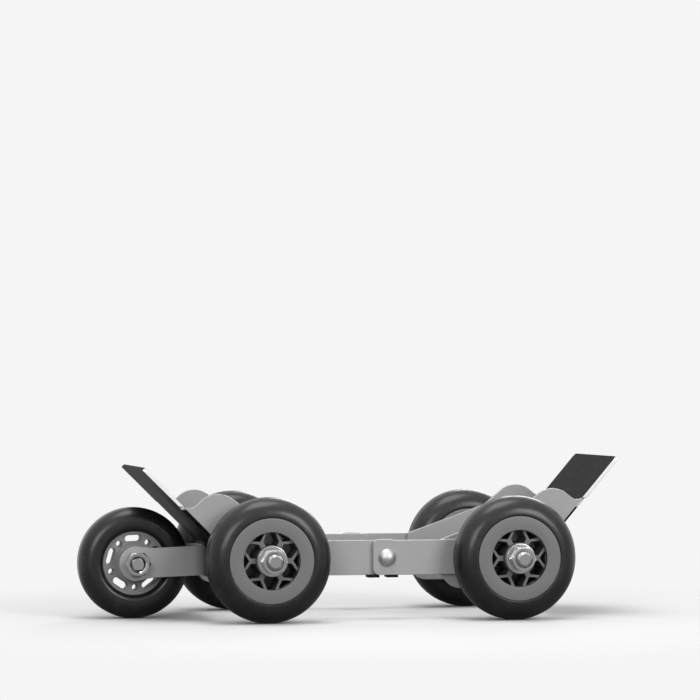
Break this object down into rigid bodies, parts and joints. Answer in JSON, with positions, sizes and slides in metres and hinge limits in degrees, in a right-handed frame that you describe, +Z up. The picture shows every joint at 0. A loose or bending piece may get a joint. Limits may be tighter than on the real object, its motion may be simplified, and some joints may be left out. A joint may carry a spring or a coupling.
{
  "type": "motorcycle mover dolly",
  "caption": "Low wheeled dolly: bolted steel side plates and two sloping cradle plates hold a motorcycle's tyre off the floor, with star-hub load wheels and a lead wheel in a fork.",
  "frame": {"origin": "on the floor, under the middle of the dolly's length and width", "axes": "+X towards the rear, away from the lead wheel; +Y to the dolly's right; +Z up"},
  "size_m": [0.4378, 0.231, 0.1306],
  "materials": {
    "tyre_rubber": "smooth, half gloss",
    "hub_plastic": "moulded, satin",
    "lead_hub_plastic": "moulded, satin",
    "bush_nylon": "turned, matte",
    "frame_paint": "light grey powder coat, satin",
    "cradle_paint": "black powder coat, satin",
    "zinc_steel": "bright zinc plate"
  },
  "bodies": {
    "frame": {"fork_bolts": "zinc_steel", "fork_nuts": "zinc_steel", "front_cradle_plate": "cradle_paint", "front_left_axle_bolt": "zinc_steel", "front_left_axle_nut": "zinc_steel", "front_left_axle_sleeve": "zinc_steel", "front_left_side_plate": "frame_paint", "front_left_spacer": "zinc_steel", "front_left_washer": "zinc_steel", "front_right_axle_bolt": "zinc_steel", "front_right_axle_nut": "zinc_steel", "front_right_axle_sleeve": "zinc_steel", "front_right_side_plate": "frame_paint", "front_right_spacer": "zinc_steel", "front_right_washer": "zinc_steel", "lead_axle_bolt": "zinc_steel", "lead_axle_nut": "zinc_steel", "lead_axle_sleeve": "zinc_steel", "lead_fork": "frame_paint", "left_lap_bolt": "zinc_steel", "left_lap_keeper": "cradle_paint", "left_lap_nut": "zinc_steel", "left_lap_washer": "zinc_steel", "rear_cradle_plate": "cradle_paint", "rear_left_axle_bolt": "zinc_steel", "rear_left_axle_nut": "zinc_steel", "rear_left_axle_sleeve": "zinc_steel", "rear_left_side_plate": "frame_paint", "rear_left_spacer": "zinc_steel", "rear_left_washer": "zinc_steel", "rear_right_axle_bolt": "zinc_steel", "rear_right_axle_nut": "zinc_steel", "rear_right_axle_sleeve": "zinc_steel", "rear_right_side_plate": "frame_paint", "rear_right_spacer": "zinc_steel", "rear_right_washer": "zinc_steel", "right_lap_bolt": "zinc_steel", "right_lap_keeper": "cradle_paint", "right_lap_nut": "zinc_steel", "right_lap_washer": "zinc_steel"},
    "front_left_wheel": {"front_left_bush": "bush_nylon", "front_left_hub": "hub_plastic", "front_left_tyre": "tyre_rubber"},
    "front_right_wheel": {"front_right_bush": "bush_nylon", "front_right_hub": "hub_plastic", "front_right_tyre": "tyre_rubber"},
    "lead_wheel": {"lead_bush": "bush_nylon", "lead_hub": "lead_hub_plastic", "lead_tyre": "tyre_rubber"},
    "rear_left_wheel": {"rear_left_bush": "bush_nylon", "rear_left_hub": "hub_plastic", "rear_left_tyre": "tyre_rubber"},
    "rear_right_wheel": {"rear_right_bush": "bush_nylon", "rear_right_hub": "hub_plastic", "rear_right_tyre": "tyre_rubber"}
  },
  "joints": [
    {"name": "front_left_wheel_spin", "type": "hinge", "parent": "frame", "child": "front_left_wheel", "pos_m": [-0.07754, -0.0825, 0.05], "axis": [0, 1, 0], "continuous": true},
    {"name": "front_right_wheel_spin", "type": "hinge", "parent": "frame", "child": "front_right_wheel", "pos_m": [-0.07754, 0.0825, 0.05], "axis": [0, 1, 0], "continuous": true},
    {"name": "rear_left_wheel_spin", "type": "hinge", "parent": "frame", "child": "rear_left_wheel", "pos_m": [0.12446, -0.0825, 0.05], "axis": [0, 1, 0], "continuous": true},
    {"name": "rear_right_wheel_spin", "type": "hinge", "parent": "frame", "child": "rear_right_wheel", "pos_m": [0.12446, 0.0825, 0.05], "axis": [0, 1, 0], "continuous": true},
    {"name": "lead_wheel_spin", "type": "hinge", "parent": "frame", "child": "lead_wheel", "pos_m": [-0.17394, 0, 0.045], "axis": [0, 1, 0], "continuous": true}
  ]
}
